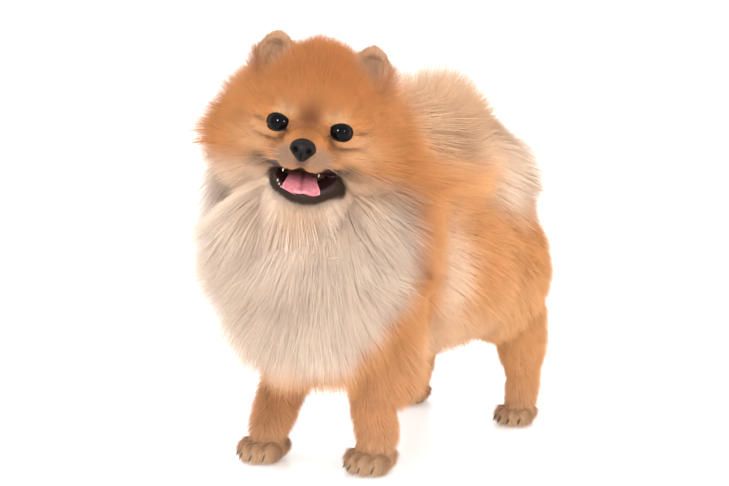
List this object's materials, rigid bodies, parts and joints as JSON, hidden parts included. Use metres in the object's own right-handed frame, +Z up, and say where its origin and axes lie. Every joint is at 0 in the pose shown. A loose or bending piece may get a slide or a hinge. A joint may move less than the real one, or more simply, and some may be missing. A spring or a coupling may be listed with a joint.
{
  "type": "pomeranian",
  "caption": "Still life-size model of a standing pomeranian with a full ruff, plumed tail over the back, turned head and open mouth.",
  "frame": {"origin": "middle of the outline's box, at the level of the soles", "axes": "+Z up, -Y the way the body faces, +X the animal's own left"},
  "size_m": [0.205, 0.3273, 0.3374],
  "materials": {
    "coat_orange": "soft double coat of orange fur",
    "coat_cream": "soft double coat of cream fur",
    "paw": "short greyish-tan fur over toes, dark claws",
    "lips": "damp black skin with short dark fur",
    "tongue": "wet pink tongue",
    "nose_leather": "pebbled dark nose leather, slightly moist",
    "eye": "wet dark brown, almost black eye"
  },
  "bodies": {
    "root": {"head": "coat_orange", "lower_jaw": "lips", "tongue": "tongue", "nose": "nose_leather", "eye_left": "eye", "eye_right": "eye", "ear_left": "coat_orange", "ear_right": "coat_orange", "neck_ruff": "coat_cream", "torso": "coat_orange", "tail": "coat_cream", "haunch_left": "coat_orange", "haunch_right": "coat_orange", "shank_left": "coat_orange", "shank_right": "coat_orange", "hindpaw_left": "paw", "hindpaw_right": "paw", "foreleg_left": "coat_orange", "foreleg_right": "coat_orange", "forepaw_left": "paw", "forepaw_right": "paw"}
  },
  "joints": []
}
